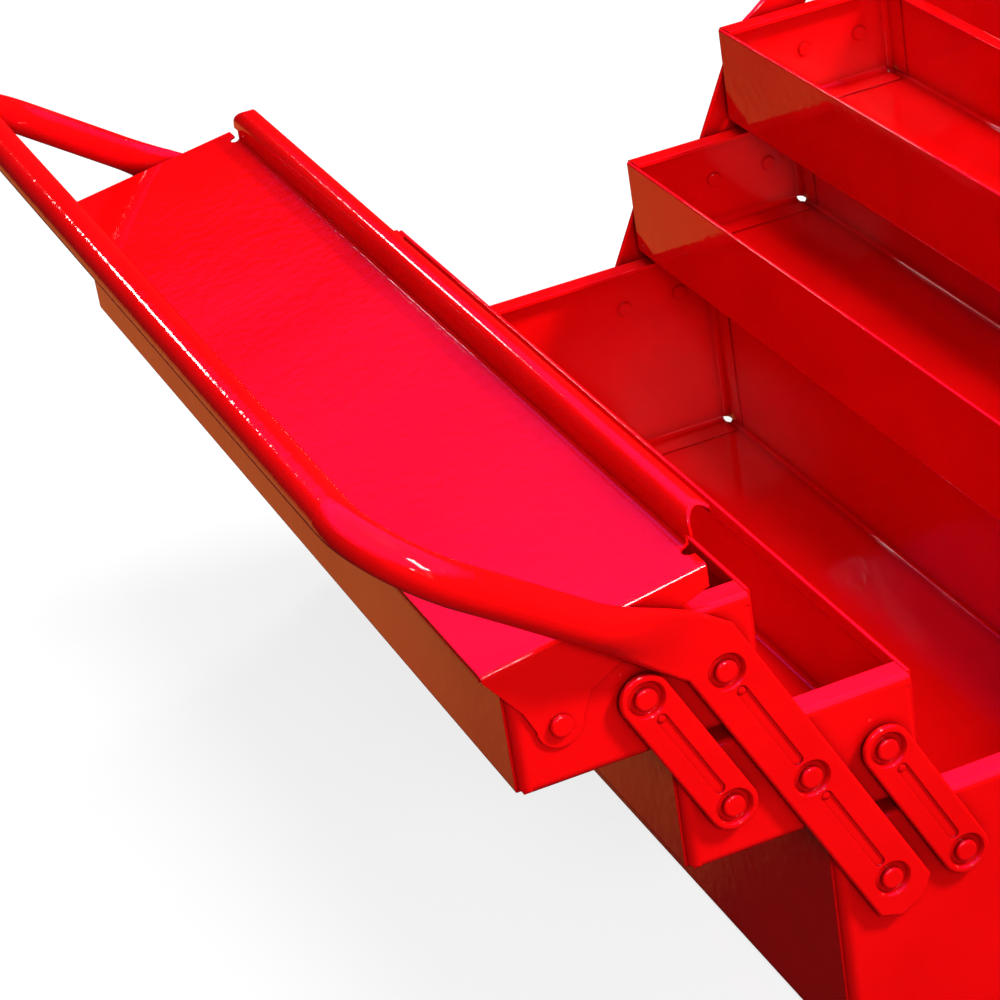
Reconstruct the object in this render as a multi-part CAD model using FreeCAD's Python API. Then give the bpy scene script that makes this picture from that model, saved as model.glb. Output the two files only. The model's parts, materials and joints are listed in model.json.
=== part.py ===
import FreeCAD, Part
import math
import os
from FreeCAD import Vector

# Cantilever tool box of pressed sheet steel, shown with both wings spread.
# X is the long axis, Y the width, Z up. The origin is the middle of the
# base tray's underside. Left is -Y, right is +Y, near is +X and far is -X.
# Every length is in millimetres.

# Body
body_length = 520.0
sheet = 1.0
base_width = 204.0
base_height = 106.0
tray_side_gap = 4.5
tray_height = 50.4

# Linkage, in one end face. Every tray has the same row of pivot holes.
# The gaps are those of the closed box: beside its middle plane, between
# the trays, and between the lower trays and the base tray.
pivot_inset = 16.3
lid_pivot_inset = 18.6
tray_pivot_height = 26.0
centre_gap = 2.66
tray_gap = 2.54
base_gap = 2.14
open_angle = 63.5

# Sheet metal bends and hems
trough_bend_radius = 3.0
hem_depth = 6.0
hem_round = 0.9
wall_end_setback = 4.0
wall_end_corner_radius = 4.0
rolled_flange_width = 9.0
end_bend_radius = 4.0
end_corner_relief = 2.0
end_tab_length = 13.0
end_flange_width = 12.0
end_flange_thickness = 2.0
end_flange_bend_radius = 2.6
tab_hem_gap = 0.5

# Rivets
rivet_shank_radius = 2.4
rivet_head_radius = 4.4
rivet_head_height = 2.2
rivet_head_round = 1.2
rivet_inner_head_radius = 4.0
rivet_inner_head_height = 1.4
pivot_clearance = 0.05
loose_pivot_clearance = 0.3
side_play = 0.15

# Straps and links
strap_width = 25.0
strap_thickness = 3.0
strap_foot_length = 17.0
strap_foot_clip = 6.5
strap_edge_round = 1.2
link_width = 19.5
link_edge_round = 1.1
dimple_depth = 1.85
dimple_floor_radius = 6.2
dimple_slope = 1.3
dimple_wall = 0.7
groove_width = 4.4
groove_depth = 0.8
groove_end_gap = 10.8
groove_bump_radius = 2.0
groove_bump_height = 0.8

# Tubular handle, whose ends are flattened into the straps
tube_radius = 8.0
tube_wall = 1.2
tube_stand_off = 5.0
neck_length = 10.5
neck_bend_angle = 28.5
arm_length = 143.0
flat_end = 9.0
taper_end = 58.0
taper_station_shares = [0, 0.2, 0.4, 0.6, 0.8, 1]
flat_corner_share = 0.98
corner_bend_radius = 35.0

# Lids
lid_swing_gap = 0.41
lid_tilt = 9.0
lid_overhang = 7.4
lid_inner_setback = 17.0
lid_side_gap = 0.3
lid_bend_radius = 2.0
lid_skirt_depth = 3.0
lid_ear_radius = 9.0
lid_ear_notch = 13.0
lid_cheek_height = 27.9
lid_cheek_reach = 46.8
lid_cheek_depth = 8.0
lip_wall_height = 8.5
lip_curl_radius = 6.0
lip_end_setback = 10.0
lip_end_slant = 5.0
lip_tongue_radius = 10.0
lid_corner_relief = 3.5
lid_open_angle = 102.0

# Values worked out from the ones above
half_length = body_length / 2
tray_width = base_width / 2 - tray_side_gap
pivot_pitch = (tray_width - pivot_inset - lid_pivot_inset) / 2
closed_rise = tray_height + tray_gap
link_length = math.hypot(closed_rise, pivot_pitch)
base_pivot_height = base_height + base_gap + tray_pivot_height - closed_rise
base_strap_pivot_offset = centre_gap + pivot_inset + 2 * pivot_pitch
pivot_shares = [0, 1, 2]
tray_pivots = [pivot_inset + pivot_pitch * share for share in pivot_shares]
open_run = link_length * math.cos(math.radians(open_angle))
open_rise = link_length * math.sin(math.radians(open_angle))

strap_pivot = (-base_strap_pivot_offset, base_pivot_height)
link_pivot = (-base_strap_pivot_offset + pivot_pitch, base_pivot_height)
middle_strap_pivot = (strap_pivot[0] - open_run, strap_pivot[1] + open_rise)
upper_strap_pivot = (middle_strap_pivot[0] - open_run, middle_strap_pivot[1] + open_rise)
middle_inner_y = middle_strap_pivot[0] + tray_pivots[1]
upper_inner_y = upper_strap_pivot[0] + tray_pivots[0]
middle_bottom_z = middle_strap_pivot[1] - tray_pivot_height
upper_bottom_z = upper_strap_pivot[1] - tray_pivot_height
middle_lower_link_pivot = (middle_inner_y - tray_pivots[0], middle_strap_pivot[1])
middle_upper_link_pivot = (middle_inner_y - tray_pivots[2], middle_strap_pivot[1])
upper_link_pivot = (upper_inner_y - tray_pivots[1], upper_strap_pivot[1])
lid_pivot = (upper_inner_y - tray_pivots[2], upper_strap_pivot[1])

link_inner_x = half_length + side_play + dimple_depth
link_outer_x = link_inner_x + strap_thickness
dimple_floor_x = link_outer_x - dimple_depth
dimple_rim_radius = dimple_floor_radius + dimple_slope
tray_corner_reach = math.hypot(lid_pivot_inset - trough_bend_radius, tray_pivot_height - trough_bend_radius)
lid_clearance = tray_corner_reach + trough_bend_radius + lid_swing_gap
lid_outer_reach = lid_pivot_inset + lid_overhang
lid_inner_reach = pivot_inset + 2 * pivot_pitch - lid_inner_setback
ear_inner_x = half_length + lid_side_gap
ear_outer_x = ear_inner_x + sheet
overrun = 5.0 * sheet
same_point = sheet / 1e6
right_angle = 90


def face_in(path, origin, along_u, along_v):
    """A flat face from a closed path of (u, v) points. An entry of four
    numbers is an arc through its first point to its second one."""
    def place(u, v):
        return origin + along_u * u + along_v * v
    edges = []
    start = path[0]
    previous = place(*start)
    for entry in path[1:] + [start]:
        point = place(entry[-2], entry[-1])
        if len(entry) == 4:
            edges.append(Part.Arc(previous, place(entry[0], entry[1]), point).toShape())
        elif previous.distanceToPoint(point) > same_point:
            edges.append(Part.makeLine(previous, point))
        previous = point
    return Part.Face(Part.Wire(edges))


def corner_arc(centre, radius, start_angle, end_angle):
    """The arc entry of a path round a centre between two angles in degrees."""
    middle_angle = math.radians((start_angle + end_angle) / 2)
    last_angle = math.radians(end_angle)
    return (centre[0] + radius * math.cos(middle_angle), centre[1] + radius * math.sin(middle_angle),
            centre[0] + radius * math.cos(last_angle), centre[1] + radius * math.sin(last_angle))


def channel_path(half_width, depth, radius):
    """A bent U of sheet that is open towards +v, with its back on v = 0."""
    inner = radius - sheet
    left = (-half_width + radius, radius)
    right = (half_width - radius, radius)
    return [(-half_width, depth), (-half_width, radius), corner_arc(left, radius, 180, 270),
            (right[0], 0), corner_arc(right, radius, 270, 360), (half_width, depth),
            (half_width - sheet, depth), (half_width - sheet, radius), corner_arc(right, inner, 360, 270),
            (left[0], sheet), corner_arc(left, inner, 270, 180), (-half_width + sheet, depth)]


def cylinder_x(radius, start_x, length, point):
    return Part.makeCylinder(radius, length, Vector(start_x, point[0], point[1]), Vector(1, 0, 0))


def cone_x(start_radius, end_radius, start_x, length, point):
    start = Vector(start_x, point[0], point[1])
    return Part.makeCone(start_radius, end_radius, length, start, Vector(1, 0, 0))


def mirror_ends(shape):
    return shape.mirror(Vector(0, 0, 0), Vector(1, 0, 0))


def mirror_sides(shape):
    return shape.mirror(Vector(0, 0, 0), Vector(0, 1, 0))


def make_trough(inner_y, outer_y, bottom_z, height, rolled):
    """The floor and both long walls, bent from one sheet."""
    low_y = min(inner_y, outer_y)
    width = abs(outer_y - inner_y)
    centre_y = low_y + width / 2
    wall_half_length = half_length - wall_end_setback
    run = Vector(2 * wall_half_length, 0, 0)
    origin = Vector(-wall_half_length, centre_y, bottom_z)
    path = channel_path(width / 2, height, trough_bend_radius)
    trough = face_in(path, origin, Vector(0, 1, 0), Vector(0, 0, 1)).extrude(run)
    for side in (-1, 1):
        hem_outer = side * width / 2
        hem_inner = hem_outer - side * 2 * sheet
        low = min(hem_outer, hem_inner)
        high = max(hem_outer, hem_inner)
        hem_path = [(low, height - hem_depth), (low, height - hem_round),
                    corner_arc((low + hem_round, height - hem_round), hem_round, 180, 90),
                    (high - hem_round, height),
                    corner_arc((high - hem_round, height - hem_round), hem_round, 90, 0),
                    (high, height - hem_depth)]
        slab_corner = Vector(-wall_half_length - sheet, centre_y + low - sheet,
                             bottom_z + height - hem_round)
        slab = Part.makeBox(run.x + 2 * sheet, 4 * sheet, 2 * sheet, slab_corner)
        trough = trough.cut(slab)
        trough = trough.fuse(face_in(hem_path, origin, Vector(0, 1, 0), Vector(0, 0, 1)).extrude(run))
    if rolled:
        edge = -width / 2
        radius = trough_bend_radius
        top = height
        roll_path = [(edge, top - hem_depth), (edge, top - radius),
                     corner_arc((edge + radius, top - radius), radius, 180, 90),
                     (edge + rolled_flange_width, top), (edge + rolled_flange_width, top - sheet),
                     (edge + 2 * sheet, top - sheet), (edge + 2 * sheet, top - hem_depth)]
        slab_corner = Vector(-wall_half_length - sheet, centre_y + edge - sheet,
                             bottom_z + top - radius)
        slab = Part.makeBox(run.x + 2 * sheet, 4 * sheet, 2 * radius, slab_corner)
        trough = trough.cut(slab)
        trough = trough.fuse(face_in(roll_path, origin, Vector(0, 1, 0), Vector(0, 0, 1)).extrude(run))
    return cut_trough_corners(trough.removeSplitter(), low_y, width, bottom_z, wall_half_length)


def cut_trough_corners(trough, low_y, width, bottom_z, wall_half_length):
    """The long walls' lower end corners are rounded off beside the floor."""
    radius = wall_end_corner_radius
    for end in (-1, 1):
        for side_y in (low_y, low_y + width - trough_bend_radius):
            corner_x = end * wall_half_length
            centre = (corner_x - end * radius, bottom_z + radius)
            path = [(corner_x, bottom_z + radius), (corner_x + end * sheet, bottom_z + radius),
                    (corner_x + end * sheet, bottom_z - sheet), (centre[0], bottom_z - sheet),
                    (centre[0], bottom_z),
                    corner_arc(centre, radius, 270, 270 + end * 90)]
            start = Vector(0, side_y - sheet / 2, 0)
            face = face_in(path, start, Vector(1, 0, 0), Vector(0, 0, 1))
            trough = trough.cut(face.extrude(Vector(0, trough_bend_radius + sheet / 2, 0)))
    return trough


def make_end_wall(inner_y, outer_y, bottom_z, height, pivots, rolled):
    """The near end wall: a plate with side tabs, a bottom tab and a top flange."""
    low_y = min(inner_y, outer_y) + sheet
    width = abs(outer_y - inner_y) - 2 * sheet
    centre_y = low_y + width / 2
    floor_z = bottom_z + sheet
    top_z = bottom_z + height
    depth = end_bend_radius + end_tab_length
    radius = end_bend_radius
    tab_bottom_z = floor_z + end_corner_relief
    plate_height = top_z - end_flange_bend_radius - tab_bottom_z
    side_path = channel_path(width / 2, depth, radius)
    wall = face_in(side_path, Vector(half_length, centre_y, tab_bottom_z), Vector(0, 1, 0),
                   Vector(-1, 0, 0)).extrude(Vector(0, 0, plate_height))
    foot_width = width - 2 * radius
    foot_corner = Vector(half_length - radius, low_y + radius, floor_z)
    wall = wall.cut(Part.makeBox(2 * radius, foot_width, radius, foot_corner))
    inner = radius - sheet
    foot_path = [(0, radius), corner_arc((radius, radius), radius, 180, 270), (depth, 0), (depth, sheet),
                 (radius, sheet), corner_arc((radius, radius), inner, 270, 180)]
    foot = face_in(foot_path, Vector(half_length, low_y + radius, floor_z), Vector(-1, 0, 0),
                   Vector(0, 0, 1)).extrude(Vector(0, foot_width, 0))
    flange_width = abs(outer_y - inner_y) - 4 * sheet - 2 * side_play
    bend = end_flange_bend_radius
    tight = bend - sheet
    flange_path = [(0, -bend), corner_arc((bend, -bend), bend, 180, 90), (end_flange_width, 0),
                   (end_flange_width, -end_flange_thickness), (bend, -end_flange_thickness),
                   (bend, -bend), (sheet, -bend - tight), (0, -bend - tight)]
    flange = face_in(flange_path, Vector(half_length, centre_y - flange_width / 2, top_z), Vector(-1, 0, 0),
                     Vector(0, 0, 1)).extrude(Vector(0, flange_width, 0))
    wall = wall.fuse([foot, flange]).removeSplitter()
    hem_x = half_length - wall_end_setback
    for hem_y in (low_y - 2 * sheet, low_y + width - sheet - side_play):
        reach = rolled_flange_width if rolled and hem_y < centre_y else 0
        hem_room = Part.makeBox(depth, 3 * sheet + side_play + reach, hem_depth + tab_hem_gap + sheet,
                                Vector(hem_x - depth, hem_y, top_z - hem_depth - tab_hem_gap))
        wall = wall.cut(hem_room)
    for pivot in pivots:
        hole = cylinder_x(rivet_shank_radius + pivot_clearance, half_length - overrun, 2 * overrun, pivot)
        wall = wall.cut(hole)
    return wall


def make_rivet(pivot, seat_x):
    """A rivet of the near end: a low head with a rounded rim, its shank and the inner head."""
    head_x = seat_x + side_play
    inner_x = half_length - sheet
    shank = cylinder_x(rivet_shank_radius, inner_x, head_x - inner_x, pivot)
    head = cylinder_x(rivet_head_radius, head_x, rivet_head_height, pivot)
    crown = [edge for edge in head.Edges if edge.BoundBox.XMin > head_x + rivet_head_height / 2]
    head = head.makeFillet(rivet_head_round, crown)
    back = cone_x(rivet_inner_head_radius - dimple_wall, rivet_inner_head_radius,
                  inner_x - rivet_inner_head_height, rivet_inner_head_height, pivot)
    return shank.fuse([head, back]).removeSplitter()


def make_rivets(seats):
    """A group of rivets at both ends, one separate solid each."""
    rivets = []
    for pivot, seat_x in seats:
        rivet = make_rivet(pivot, seat_x)
        rivets.append(rivet)
        rivets.append(mirror_ends(rivet))
    return Part.makeCompound(rivets)


def press_pivots(plate, pivots, clearances):
    """Dimples that reach in to the end wall, each with its rivet hole."""
    for pivot, clearance in zip(pivots, clearances):
        boss = cone_x(dimple_floor_radius + dimple_wall, dimple_rim_radius + dimple_wall,
                      half_length + side_play, dimple_depth, pivot)
        recess = cone_x(dimple_floor_radius, dimple_rim_radius, dimple_floor_x, dimple_depth, pivot)
        hole = cylinder_x(rivet_shank_radius + clearance, half_length - overrun, 3 * overrun, pivot)
        plate = plate.fuse(boss).cut(recess).cut(hole)
    return plate


def press_groove(plate, start, end):
    """A shallow groove between two dimples, with a bump at its upper end."""
    run = Vector(0, end[0] - start[0], end[1] - start[1])
    direction = run / run.Length
    first = Vector(link_outer_x - groove_depth, start[0], start[1]) + direction * groove_end_gap
    last = Vector(link_outer_x - groove_depth, end[0], end[1]) - direction * groove_end_gap
    across = Vector(1, 0, 0).cross(direction)
    radius = groove_width / 2
    span = (last - first).Length
    path = [(0, radius), corner_arc((0, 0), radius, 90, 270), (span, -radius),
            corner_arc((span, 0), radius, 270, 450)]
    cutter = face_in(path, first, direction, across).extrude(Vector(overrun, 0, 0))
    plate = plate.cut(cutter)
    bump_drop = (groove_bump_radius ** 2 - groove_bump_height ** 2) / (2 * groove_bump_height)
    ball_radius = bump_drop + groove_bump_height
    ball = Part.makeSphere(ball_radius, last - Vector(bump_drop, 0, 0))
    bump = ball.common(cylinder_x(groove_bump_radius, last.x - sheet / 2, overrun, (last.y, last.z)))
    return plate.fuse(bump).removeSplitter()


def make_link(lower, upper, lower_clearance, upper_clearance):
    """A short link between two trays."""
    run = Vector(0, upper[0] - lower[0], upper[1] - lower[1])
    direction = run / run.Length
    across = Vector(1, 0, 0).cross(direction)
    radius = link_width / 2
    path = [(0, radius), corner_arc((0, 0), radius, 90, 270), (run.Length, -radius),
            corner_arc((run.Length, 0), radius, 270, 450)]
    face = face_in(path, Vector(link_inner_x, lower[0], lower[1]), direction, across)
    link = face.extrude(Vector(strap_thickness, 0, 0))
    rims = [edge for edge in link.Edges if edge.BoundBox.XLength < sheet / 2]
    link = link.makeFillet(link_edge_round, rims)
    link = press_pivots(link, [lower, upper], [lower_clearance, upper_clearance])
    return press_groove(link, lower, upper)


def tube_section(centre, across, outward, half_width, half_thickness, roundness):
    """A closed section of four arcs, from a flattened tube to a round one."""
    flatness = 1 - roundness
    corner_u = half_width * math.sqrt(0.5) * roundness + (half_width - half_thickness) * flatness
    corner_v = half_thickness * (math.sqrt(0.5) * roundness + flat_corner_share * flatness)
    path = [(-corner_u, corner_v), (0, half_thickness, corner_u, corner_v),
            (half_width, 0, corner_u, -corner_v), (0, -half_thickness, -corner_u, -corner_v),
            (-half_width, 0, -corner_u, corner_v)]
    return face_in(path, centre, across, outward).OuterWire


def arm_point(distance):
    """A point of the handle's axis beyond the neck, in the YZ plane."""
    neck_angle = math.radians(open_angle)
    arm_angle = math.radians(open_angle - neck_bend_angle)
    neck_y = upper_strap_pivot[0] - neck_length * math.cos(neck_angle)
    neck_z = upper_strap_pivot[1] + neck_length * math.sin(neck_angle)
    return (neck_y - distance * math.cos(arm_angle), neck_z + distance * math.sin(arm_angle))


def make_strap():
    """The flattened end of the handle tube, which carries both trays."""
    lower = Vector(link_inner_x, strap_pivot[0], strap_pivot[1])
    neck = Vector(link_inner_x, *arm_point(0))
    tip = Vector(link_inner_x, *arm_point(flat_end))
    along = (neck - lower).normalize()
    arm_along = (tip - neck).normalize()
    across = Vector(1, 0, 0).cross(along)
    arm_across = Vector(1, 0, 0).cross(arm_along)
    half = strap_width / 2
    foot = lower - along * (strap_foot_length - strap_foot_clip)
    toe = lower - along * strap_foot_length
    toe_half = half - strap_foot_clip
    mitre = (across + arm_across).normalize() * (half / math.cos(math.radians(neck_bend_angle / 2)))
    edges = [Part.makeLine(foot + across * half, neck + mitre),
             Part.makeLine(neck + mitre, tip + arm_across * half),
             Part.makeLine(tip + arm_across * half, tip - arm_across * half),
             Part.makeLine(tip - arm_across * half, neck - mitre),
             Part.makeLine(neck - mitre, foot - across * half),
             Part.makeLine(foot - across * half, toe - across * toe_half),
             Part.makeLine(toe - across * toe_half, toe + across * toe_half),
             Part.makeLine(toe + across * toe_half, foot + across * half)]
    strap = Part.Face(Part.Wire(edges)).extrude(Vector(strap_thickness, 0, 0))
    rims = []
    for edge in strap.Edges:
        middle = edge.BoundBox.Center
        at_tip = math.hypot(middle.y - tip.y, middle.z - tip.z) < sheet / 2
        if edge.BoundBox.XLength < sheet / 2 and not at_tip:
            rims.append(edge)
    strap = strap.makeFillet(strap_edge_round, rims)
    pivots = [strap_pivot, middle_strap_pivot, upper_strap_pivot]
    strap = press_pivots(strap, pivots, [pivot_clearance] * 3)
    strap = press_groove(strap, strap_pivot, middle_strap_pivot)
    return press_groove(strap, middle_strap_pivot, upper_strap_pivot)


def make_taper():
    """Where the flattened end swells back into the round tube."""
    direction = Vector(0, *arm_point(1)) - Vector(0, *arm_point(0))
    across = Vector(1, 0, 0).cross(direction)
    flat_half_width = strap_width / 2
    flat_half_thickness = strap_thickness / 2
    start = flat_end - sheet
    wires = []
    for share in taper_station_shares:
        swell = share ** 2 * (3 - 2 * share)
        half_width = flat_half_width + (tube_radius - flat_half_width) * swell
        half_thickness = flat_half_thickness + (tube_radius - flat_half_thickness) * swell
        inner_x = link_inner_x + (half_length + tube_stand_off - link_inner_x) * swell
        centre = Vector(inner_x + half_thickness, *arm_point(start + (taper_end - start) * share))
        outward = Vector(1, 0, 0)
        wires.append(tube_section(centre, across, outward, half_width, half_thickness, math.sqrt(swell)))
    return Part.makeLoft(wires, True, False)


def sweep_tube(radius, start_distance):
    """The round part of the handle: both arms, both bends and the bar."""
    tube_x = half_length + tube_stand_off + tube_radius
    start = Vector(tube_x, *arm_point(start_distance))
    corner = Vector(tube_x, *arm_point(arm_length))
    bend = corner_bend_radius
    up_arm = (corner - start).normalize()
    bar = Vector(-1, 0, 0)
    first = corner - up_arm * bend
    second = corner + bar * bend
    centre = first + bar * bend
    middle = centre + (corner - centre).normalize() * bend
    half_edges = [Part.makeLine(start, first), Part.Arc(first, middle, second).toShape()]
    bar_end = Vector(-second.x, second.y, second.z)
    mirrored = [mirror_ends(edge) for edge in reversed(half_edges)]
    path = Part.Wire(half_edges + [Part.makeLine(second, bar_end)] + mirrored)
    section = Part.Wire(Part.makeCircle(radius, start, up_arm))
    return path.makePipeShell([section], True, True)


def make_handle():
    strap = make_strap()
    taper = make_taper()
    tube = sweep_tube(tube_radius, taper_end).cut(sweep_tube(tube_radius - tube_wall, taper_end))
    return tube.fuse([strap, mirror_ends(strap), taper, mirror_ends(taper)]).removeSplitter()


def lid_height(offset):
    """Height of the lid's top face over its pivot, at a distance towards the centre."""
    tilt = math.radians(lid_tilt)
    return (lid_clearance + sheet) / math.cos(tilt) + offset * math.tan(tilt)


def make_lid():
    """The closed left lid: a tilted plate with end flanges, a skirt and a curled lip."""
    tilt = math.radians(lid_tilt)
    pivot = Vector(0, lid_pivot[0], lid_pivot[1])
    along = Vector(0, math.cos(tilt), math.sin(tilt))
    down = Vector(0, math.sin(tilt), -math.cos(tilt))
    outer_edge = pivot + Vector(0, -lid_outer_reach, lid_height(-lid_outer_reach))
    plate_length = (lid_outer_reach + lid_inner_reach) / math.cos(tilt)
    depth = lid_clearance + lid_ear_radius + lid_outer_reach
    path = channel_path(ear_outer_x, depth, lid_bend_radius)
    shell = face_in(path, outer_edge, Vector(1, 0, 0), down).extrude(along * plate_length)
    shell = shell.common(lid_cheek(pivot))
    lid = shell.fuse([lid_skirt(pivot), lid_lip(pivot)]).removeSplitter()
    relief_x = half_length - lip_end_setback - lip_end_slant + lid_corner_relief
    relief_foot = pivot + Vector(relief_x, lid_inner_reach, lid_height(lid_inner_reach) - overrun)
    relief = Part.makeCylinder(lid_corner_relief, 2 * overrun, relief_foot)
    hole = cylinder_x(rivet_shank_radius + pivot_clearance, ear_inner_x - overrun, 2 * overrun, lid_pivot)
    return lid.cut([hole, mirror_ends(hole), relief, mirror_ends(relief)])


def lid_cheek(pivot):
    """What stays of the lid's plate and end flanges, seen from the end."""
    inner_top = lid_height(lid_inner_reach) + sheet
    outer_top = lid_height(-lid_outer_reach) + sheet
    ear = lid_ear_radius
    cheek_low = lid_height(lid_inner_reach) - sheet - lid_cheek_depth
    path = [(-lid_outer_reach, outer_top), (lid_inner_reach, inner_top), (lid_inner_reach, cheek_low),
            (lid_cheek_reach, lid_cheek_height), (lid_ear_notch, ear),
            corner_arc((0, 0), ear, 0, -180),
            (-lid_ear_notch, ear), (-lid_outer_reach, outer_top - lid_skirt_depth)]
    path.insert(5, (ear, 0))
    face = face_in(path, pivot - Vector(ear_outer_x, 0, 0), Vector(0, 1, 0), Vector(0, 0, 1))
    return face.extrude(Vector(2 * ear_outer_x, 0, 0))


def lid_skirt(pivot):
    """The narrow skirt along the lid's outer edge."""
    top = lid_height(-lid_outer_reach)
    left = -lid_outer_reach
    radius = lid_bend_radius
    slope = (lid_height(0) - lid_height(-radius)) / radius
    inner_top = lid_height(left + radius)
    end = left + 2 * radius
    path = [(left, top - lid_skirt_depth), (left, top - radius),
            (left + radius / 3, top - radius / 3, left + radius, inner_top),
            (end, lid_height(end)), (end, lid_height(end) - sheet),
            (left + radius, inner_top - sheet), (left + sheet, top - radius - sheet * slope),
            (left + sheet, top - lid_skirt_depth)]
    skirt_half = half_length - sheet
    face = face_in(path, pivot - Vector(skirt_half, 0, 0), Vector(0, 1, 0), Vector(0, 0, 1))
    return face.extrude(Vector(2 * skirt_half, 0, 0))


def lid_lip(pivot):
    """The upright wall along the lid's inner edge, curled over to a half round at its top."""
    base = lid_height(lid_inner_reach)
    wall = lid_inner_reach
    top = base + lip_wall_height
    curl = lip_curl_radius
    tight = curl - sheet
    centre = (wall + curl, top)
    path = [(wall - 2 * sheet, lid_height(wall - 2 * sheet) - sheet), (wall - sheet, base - sheet),
            (wall + sheet, base), (wall + sheet, top), corner_arc(centre, tight, 180, 0),
            (centre[0] + curl, top), corner_arc(centre, curl, 0, 180),
            (wall, base + sheet), (wall - sheet, base), (wall - 2 * sheet, lid_height(wall - 2 * sheet))]
    lip_half = half_length - lip_end_setback
    face = face_in(path, pivot - Vector(lip_half, 0, 0), Vector(0, 1, 0), Vector(0, 0, 1))
    lip = face.extrude(Vector(2 * lip_half, 0, 0))
    return shape_lip_ends(lip, pivot, base, top, lip_half)


def shape_lip_ends(lip, pivot, base, top, lip_half):
    """The lip's ends are rounded, seen from the front and from above, and slant in to its foot."""
    radius = lip_tongue_radius
    crest = pivot.z + top + lip_curl_radius
    foot = pivot.z + base - 2 * sheet
    brink = pivot.y + lid_inner_reach + 2 * lip_curl_radius
    for end in (-1, 1):
        tip = end * lip_half
        beyond = tip + end * sheet
        centre = (tip - end * radius, crest - radius)
        path = [(centre[0], crest), (centre[0], crest + sheet), (beyond, crest + sheet), (beyond, foot),
                (tip - end * lip_end_slant, foot), (tip, centre[1]),
                corner_arc(centre, radius, right_angle - end * right_angle, right_angle)]
        face = face_in(path, Vector(0, pivot.y, 0), Vector(1, 0, 0), Vector(0, 0, 1))
        lip = lip.cut(face.extrude(Vector(0, 2 * (lid_inner_reach + lip_curl_radius), 0)))
        centre = (centre[0], brink - radius)
        path = [(centre[0], brink), (centre[0], brink + sheet), (beyond, brink + sheet), (beyond, centre[1]),
                (tip, centre[1]), corner_arc(centre, radius, right_angle - end * right_angle, right_angle)]
        face = face_in(path, Vector(0, 0, foot), Vector(1, 0, 0), Vector(0, 1, 0))
        lip = lip.cut(face.extrude(Vector(0, 0, crest + sheet - foot)))
    return lip


def swing(shape, pivot, angle):
    turned = shape.copy()
    turned.rotate(Vector(0, pivot[0], pivot[1]), Vector(1, 0, 0), angle)
    return turned


def save(name, shape):
    shape.exportStep("parts/" + name + ".step")


def make_tray(name, inner_y, outer_y, bottom_z, height, pivots, rolled):
    """One tray: its trough and both end walls, with a rolled rim if it has one."""
    trough = make_trough(inner_y, outer_y, bottom_z, height, rolled)
    wall = make_end_wall(inner_y, outer_y, bottom_z, height, pivots, rolled)
    return {name + "_trough": trough, name + "_near_end_wall": wall,
            name + "_far_end_wall": mirror_ends(wall)}


def make_wing():
    """Every piece of the left wing, named without its side."""
    middle_pivots = [middle_lower_link_pivot, middle_strap_pivot, middle_upper_link_pivot]
    upper_pivots = [upper_strap_pivot, upper_link_pivot, lid_pivot]
    pieces = make_tray("middle", middle_inner_y, middle_inner_y - tray_width, middle_bottom_z, tray_height,
                       middle_pivots, False)
    pieces.update(make_tray("upper", upper_inner_y, upper_inner_y - tray_width, upper_bottom_z, tray_height,
                            upper_pivots, True))
    lower_link = make_link(link_pivot, middle_lower_link_pivot, pivot_clearance, loose_pivot_clearance)
    upper_link = make_link(middle_upper_link_pivot, upper_link_pivot, pivot_clearance,
                           loose_pivot_clearance)
    pieces["lower_link_near"] = lower_link
    pieces["lower_link_far"] = mirror_ends(lower_link)
    pieces["upper_link_near"] = upper_link
    pieces["upper_link_far"] = mirror_ends(upper_link)
    pieces["handle"] = make_handle()
    pieces["middle_rivets"] = make_rivets([(pivot, dimple_floor_x) for pivot in middle_pivots])
    pieces["upper_rivets"] = make_rivets([(pivot, dimple_floor_x) for pivot in upper_pivots[:2]])
    pieces["lid_rivets"] = make_rivets([(lid_pivot, ear_outer_x)])
    pieces["lid"] = make_lid()
    return pieces


def make_base():
    pivots = []
    for pivot in (strap_pivot, link_pivot):
        pivots.append(pivot)
        pivots.append((-pivot[0], pivot[1]))
    pieces = make_tray("base", -base_width / 2, base_width / 2, 0, base_height, pivots, False)
    pieces["base_rivets"] = make_rivets([(pivot, dimple_floor_x) for pivot in pivots])
    return pieces


def main():
    os.makedirs("parts", exist_ok=True)
    for name, shape in make_base().items():
        save(name, shape)
    for name, shape in make_wing().items():
        save("left_" + name, shape)
        if name == "lid":
            shape = swing(shape, lid_pivot, lid_open_angle)
        save("right_" + name, mirror_sides(shape))


main()
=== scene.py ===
import json
import math
import bpy
from mathutils import Matrix, Vector

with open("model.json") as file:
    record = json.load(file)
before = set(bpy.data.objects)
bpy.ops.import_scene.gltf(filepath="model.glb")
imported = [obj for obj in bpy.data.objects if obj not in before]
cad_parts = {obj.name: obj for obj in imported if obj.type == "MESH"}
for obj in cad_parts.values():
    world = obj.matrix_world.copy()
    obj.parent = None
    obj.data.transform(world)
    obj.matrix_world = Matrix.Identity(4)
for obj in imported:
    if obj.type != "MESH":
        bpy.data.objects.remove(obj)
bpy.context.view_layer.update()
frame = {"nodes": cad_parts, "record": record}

WHITE = (1.0, 1.0, 1.0, 1.0)

# Camera, measured from the photograph: place in metres, angles in degrees
CAMERA_PLACE = (1.1831, -0.5159, 0.7889)
CAMERA_AZIMUTH = 71.50
CAMERA_ELEVATION = 27.50
CAMERA_ROLL = -9.43
FOCAL_PIXELS = 3299.8
IMAGE_PIXELS = 1000.0
SENSOR_WIDTH = 36.0

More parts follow.
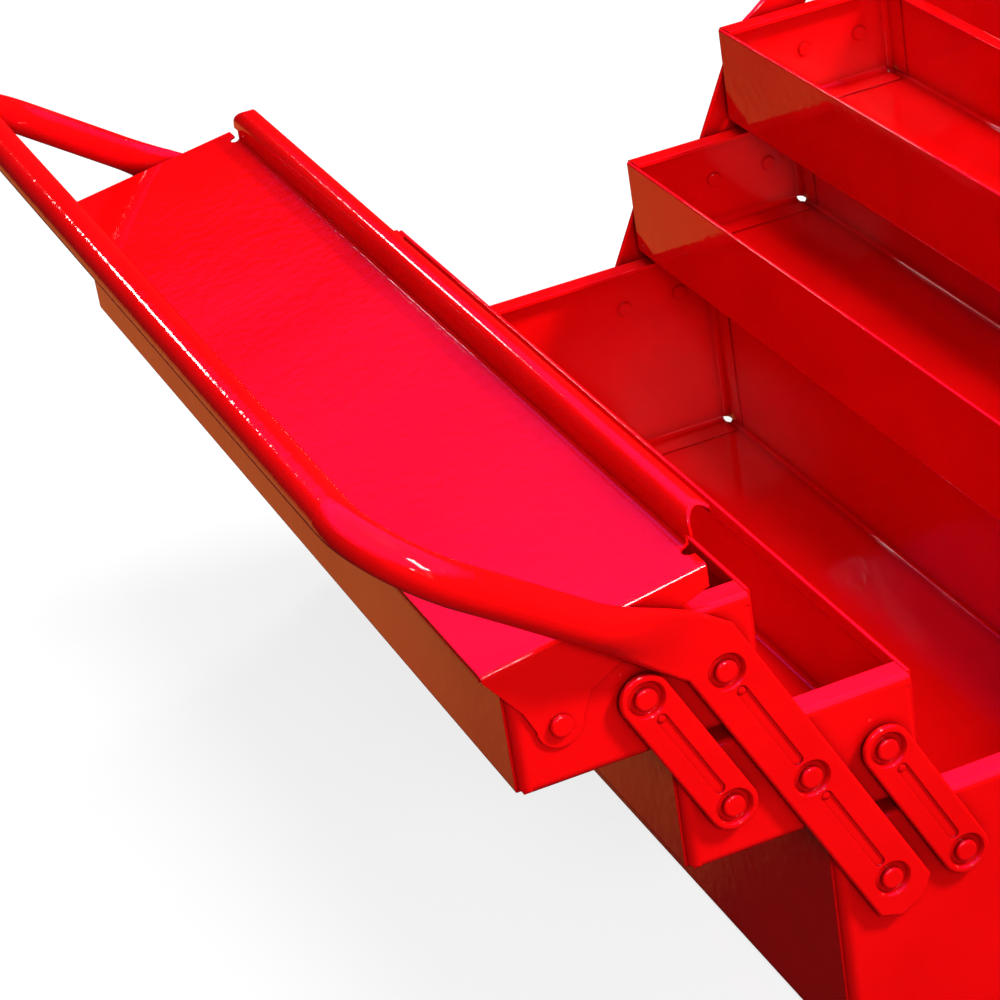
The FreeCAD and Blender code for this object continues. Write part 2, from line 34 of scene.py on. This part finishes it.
# Enamel: a red body under a clear coat. Reaches, radii and heights in metres
BODY_NOISE = {"Scale": 14.0, "Detail": 4.0, "Roughness": 0.6}
BODY_STOPS = [(0.30, (0.55, 0.0009, 0.0014, 1.0)),
              (0.62, (0.62, 0.0014, 0.0020, 1.0))]
BODY_ROUGHNESS = 0.32
BODY_SPECULAR = 0.0
ENAMEL_IOR = 1.5
COAT_WEIGHT = 0.7
COAT_ROUGHNESS = 0.07
PEEL_NOISE = {"Scale": 160.0, "Detail": 2.0, "Roughness": 0.5}
PEEL_STRENGTH = 0.10
PEEL_HEIGHT = 0.001
RIPPLE_NOISE = {"Scale": 9.0, "Detail": 1.0, "Roughness": 0.5}
RIPPLE_STRENGTH = 0.12
RIPPLE_HEIGHT = 0.01
EDGE_RADIUS = 0.0006
EDGE_SAMPLES = 6
# Painted shade: the body colour is darkened towards this dark red where ambient occlusion finds
# crevices within this reach
CREVICE_REACH = 0.010
CREVICE_SAMPLES = 8
CREVICE_SHADE_STOPS = [(0.10, (0.12, 0.10, 0.10, 1.0)),
                 (0.90, WHITE)]

# The enamel of each material slot: its name, and its shares of peel and ripple
ENAMELS = {"tray_paint": ("tray_enamel", 1.0, 1.0),
           "lid_paint": ("lid_enamel", 1.0, 0.7),
           "handle_paint": ("handle_enamel", 1.6, 0.5),
           "link_paint": ("link_enamel", 1.2, 0.3),
           "rivet_paint": ("rivet_enamel", 1.2, 0.0)}

# Floor: sizes in metres
FLOOR_SIZE = 12.0
FLOOR_DEPTH = 0.0008
FLOOR_NOISE = {"Scale": 0.8, "Detail": 2.0, "Roughness": 0.5}
FLOOR_STOPS = [(0.0, (0.93, 0.93, 0.93, 1.0)),
               (1.0, (0.95, 0.95, 0.95, 1.0))]
FLOOR_ROUGHNESS = 0.9
FLOOR_SPECULAR = 0.1
FLOOR_GLOW = 0.8

# Surroundings, from straight down (0) to straight up (1)
AMBIENT_STOPS = [(0.42, (0.05, 0.05, 0.05, 1.0)),
                 (0.56, (0.24, 0.24, 0.24, 1.0)),
                 (1.00, (0.24, 0.24, 0.24, 1.0))]
SKY_STOPS = [(0.00, (0.08, 0.02, 0.02, 1.0)),
             (0.45, (0.10, 0.02, 0.02, 1.0)),
             (0.71, (0.16, 0.01, 0.02, 1.0)),
             (0.82, (1.10, 0.14, 1.60, 1.0)),
             (1.00, (1.10, 0.18, 1.30, 1.0))]
BENCH_DIRECTION = (-0.88, -0.25, -0.40)
BENCH_EDGE = (0.976, 0.995)
BENCH_COLOUR = (1.25, 0.30, 0.08, 1.0)

# Lamps: name, place and size in metres, power in watts, and whether the lamp
# lights the enamel (True) or only shows in it (False)
LAMP_TARGET = (0.05, 0.0, 0.15)
LAMPS = [("overhead", (0.1, 0.1, 2.1), (0.8, 0.7), 40.0, True),
         ("key", (1.4, 1.25, 1.9), (0.4, 0.4), 88.0, True),
         ("fill", (1.5, -0.35, 0.8), (0.4, 0.4), 19.0, True),
         ("back", (-1.4, 1.5, 1.2), (0.5, 0.5), 24.0, True),
         ("fold_glint", (1.77, 0.08, 1.97), (0.3, 0.9), 36.0, False),
         ("rivet_glint", (2.0, -0.8, 1.2), (0.22, 0.22), 5.0, False),
         ("edge_glint", (-2.0, -0.6, 1.25), (0.2, 0.2), 3.0, False)]

# Sockets of the Mix node that carry colours, and of the Mix Shader node
MIX_FIRST = 6
MIX_SECOND = 7
MIX_RESULT = 2
SHADER_FIRST = 1
SHADER_SECOND = 2


class Graph:
    """Adds and links the nodes of one material or world."""

    def __init__(self, owner):
        owner.use_nodes = True
        self.tree = owner.node_tree
        self.tree.nodes.clear()

    def node(self, kind, inputs, **settings):
        """Add a node. Each input is an output of another node or a plain value."""
        node = self.tree.nodes.new(kind)
        for key, value in settings.items():
            setattr(node, key, value)
        for key, value in inputs.items():
            if isinstance(value, bpy.types.NodeSocket):
                self.tree.links.new(value, node.inputs[key])
            else:
                node.inputs[key].default_value = value
        return node

    def coordinates(self, space):
        return self.node("ShaderNodeTexCoord", {}).outputs[space]

    def light_path(self, ray):
        return self.node("ShaderNodeLightPath", {}).outputs[ray]

    def noise(self, vector, settings):
        return self.node("ShaderNodeTexNoise", {"Vector": vector, **settings}).outputs["Fac"]

    def ramp(self, factor, stops):
        node = self.node("ShaderNodeValToRGB", {"Fac": factor})
        elements = node.color_ramp.elements
        while len(elements) < len(stops):
            elements.new(0.5)
        for element, (position, colour) in zip(elements, stops):
            element.position = position
            element.color = colour
        return node.outputs["Color"]

    def remap(self, value, low, high):
        """Bring values from low to high to the range from 0 to 1."""
        inputs = {"Value": value, "From Min": low, "From Max": high}
        return self.node("ShaderNodeMapRange", inputs, clamp=True).outputs["Result"]

    def bump(self, strength, distance, height, normal):
        inputs = {"Strength": strength, "Distance": distance, "Height": height, "Normal": normal}
        return self.node("ShaderNodeBump", inputs).outputs["Normal"]

    def mix_colour(self, factor, first, second, blend="MIX"):
        inputs = {"Factor": factor, MIX_FIRST: first, MIX_SECOND: second}
        node = self.node("ShaderNodeMix", inputs, data_type="RGBA", blend_type=blend)
        return node.outputs[MIX_RESULT]

    def mix_shader(self, factor, first, second):
        inputs = {"Fac": factor, SHADER_FIRST: first, SHADER_SECOND: second}
        return self.node("ShaderNodeMixShader", inputs).outputs["Shader"]

    def background(self, colour):
        return self.node("ShaderNodeBackground", {"Color": colour}).outputs["Background"]


def enamel(name, peel, ripple):
    """Stove enamel on pressed sheet: glossy, with orange peel and slow ripples, and painted shade
    darkening its crevices.
    """
    material = bpy.data.materials.new(name)
    graph = Graph(material)
    place = graph.coordinates("Object")
    body = graph.ramp(graph.noise(place, BODY_NOISE), BODY_STOPS)
    crevice = graph.node("ShaderNodeAmbientOcclusion", {"Distance": CREVICE_REACH},
                         samples=CREVICE_SAMPLES)
    shadow = graph.ramp(crevice.outputs["AO"], CREVICE_SHADE_STOPS)
    rounded = graph.node("ShaderNodeBevel", {"Radius": EDGE_RADIUS}, samples=EDGE_SAMPLES)
    rippled = graph.bump(RIPPLE_STRENGTH * ripple, RIPPLE_HEIGHT,
                         graph.noise(place, RIPPLE_NOISE), rounded.outputs["Normal"])
    peeled = graph.bump(PEEL_STRENGTH * peel, PEEL_HEIGHT,
                        graph.noise(place, PEEL_NOISE), rippled)
    # The base colour is the body colour multiplied by the painted crevice shade
    shader = graph.node("ShaderNodeBsdfPrincipled", {
        "Base Color": graph.mix_colour(1.0, body, shadow, "MULTIPLY"),
        "Roughness": BODY_ROUGHNESS,
        "IOR": ENAMEL_IOR,
        "Specular IOR Level": BODY_SPECULAR,
        "Coat Weight": COAT_WEIGHT,
        "Coat Roughness": COAT_ROUGHNESS,
        "Coat IOR": ENAMEL_IOR,
        "Normal": peeled,
        "Coat Normal": peeled})
    graph.node("ShaderNodeOutputMaterial", {"Surface": shader.outputs["BSDF"]})
    return material


def floor_material():
    """Matt white paper, which glows towards the camera."""
    material = bpy.data.materials.new("studio_floor")
    graph = Graph(material)
    noise = graph.noise(graph.coordinates("Object"), FLOOR_NOISE)
    shader = graph.node("ShaderNodeBsdfPrincipled", {
        "Base Color": graph.ramp(noise, FLOOR_STOPS),
        "Roughness": FLOOR_ROUGHNESS,
        "Specular IOR Level": FLOOR_SPECULAR})
    glow = graph.node("ShaderNodeEmission", {})
    share = graph.node("ShaderNodeMath", {0: graph.light_path("Is Camera Ray"), 1: FLOOR_GLOW},
                       operation="MULTIPLY")
    surface = graph.mix_shader(share.outputs["Value"], shader.outputs["BSDF"],
                               glow.outputs["Emission"])
    graph.node("ShaderNodeOutputMaterial", {"Surface": surface})
    return material


def dress_nodes():
    """Give every piece the enamel of its material slot."""
    paints = {slot: enamel(*look) for slot, look in ENAMELS.items()}
    for part in frame["record"]["subparts"]:
        piece = frame["nodes"][part["node"]]
        piece.data.materials.clear()
        piece.data.materials.append(paints[part["material_slot"]])


def make_floor():
    """A wide floor just under the box, which the enamel doesn't mirror."""
    half = FLOOR_SIZE / 2
    corners = [(x, y, -FLOOR_DEPTH)
               for x, y in ((-half, -half), (half, -half), (half, half), (-half, half))]
    mesh = bpy.data.meshes.new("floor")
    mesh.from_pydata(corners, [], [(0, 1, 2, 3)])
    floor = bpy.data.objects.new("floor", mesh)
    bpy.context.scene.collection.objects.link(floor)
    floor.data.materials.append(floor_material())
    floor.visible_glossy = False
    floor.visible_diffuse = False


def make_world():
    """White to the camera, soft grey as light, and in the enamel a rosy sky and a warm bench."""
    world = bpy.data.worlds.new("studio")
    graph = Graph(world)
    direction = graph.coordinates("Generated")
    split = graph.node("ShaderNodeSeparateXYZ", {"Vector": direction})
    height = graph.remap(split.outputs["Z"], -1.0, 1.0)
    bench = Vector(BENCH_DIRECTION).normalized()
    toward = graph.node("ShaderNodeVectorMath", {0: direction, 1: bench}, operation="DOT_PRODUCT")
    patch = graph.remap(toward.outputs["Value"], *BENCH_EDGE)
    sky = graph.mix_colour(patch, graph.ramp(height, SKY_STOPS), BENCH_COLOUR)
    ambient = graph.background(graph.ramp(height, AMBIENT_STOPS))
    lit = graph.mix_shader(graph.light_path("Is Glossy Ray"), ambient, graph.background(sky))
    shown = graph.mix_shader(graph.light_path("Is Camera Ray"), lit, graph.background(WHITE))
    graph.node("ShaderNodeOutputWorld", {"Surface": shown})
    bpy.context.scene.world = world


def area_light(name, place, size, power):
    data = bpy.data.lights.new(name, "AREA")
    data.shape = "RECTANGLE"
    data.size, data.size_y = size
    data.energy = power
    lamp = bpy.data.objects.new(name, data)
    bpy.context.scene.collection.objects.link(lamp)
    aim = Vector(LAMP_TARGET) - Vector(place)
    lamp.location = place
    lamp.rotation_euler = aim.to_track_quat("-Z", "Y").to_euler()
    return lamp


def make_lights():
    """Soft lamps that light the enamel, and others that it only mirrors."""
    for name, place, size, power, lit in LAMPS:
        lamp = area_light(name, place, size, power)
        lamp.visible_diffuse = lit
        lamp.visible_glossy = not lit


def make_camera():
    azimuth = math.radians(CAMERA_AZIMUTH)
    elevation = math.radians(CAMERA_ELEVATION)
    roll = math.radians(CAMERA_ROLL)
    forward = Vector((-math.sin(azimuth) * math.cos(elevation),
                      math.cos(azimuth) * math.cos(elevation),
                      -math.sin(elevation)))
    right = Vector((math.cos(azimuth), math.sin(azimuth), 0.0))
    up = right.cross(forward)
    turned_right = right * math.cos(roll) + up * math.sin(roll)
    turned_up = up * math.cos(roll) - right * math.sin(roll)
    data = bpy.data.cameras.new("camera")
    data.sensor_width = SENSOR_WIDTH
    data.lens = FOCAL_PIXELS * SENSOR_WIDTH / IMAGE_PIXELS
    camera = bpy.data.objects.new("camera", data)
    bpy.context.scene.collection.objects.link(camera)
    turn = Matrix((turned_right, turned_up, -forward)).transposed().to_4x4()
    camera.matrix_world = Matrix.Translation(CAMERA_PLACE) @ turn
    bpy.context.scene.camera = camera


dress_nodes()
make_floor()
make_world()
make_lights()
make_camera()
view = bpy.context.scene.view_settings
view.view_transform = "Standard"
view.look = "None"
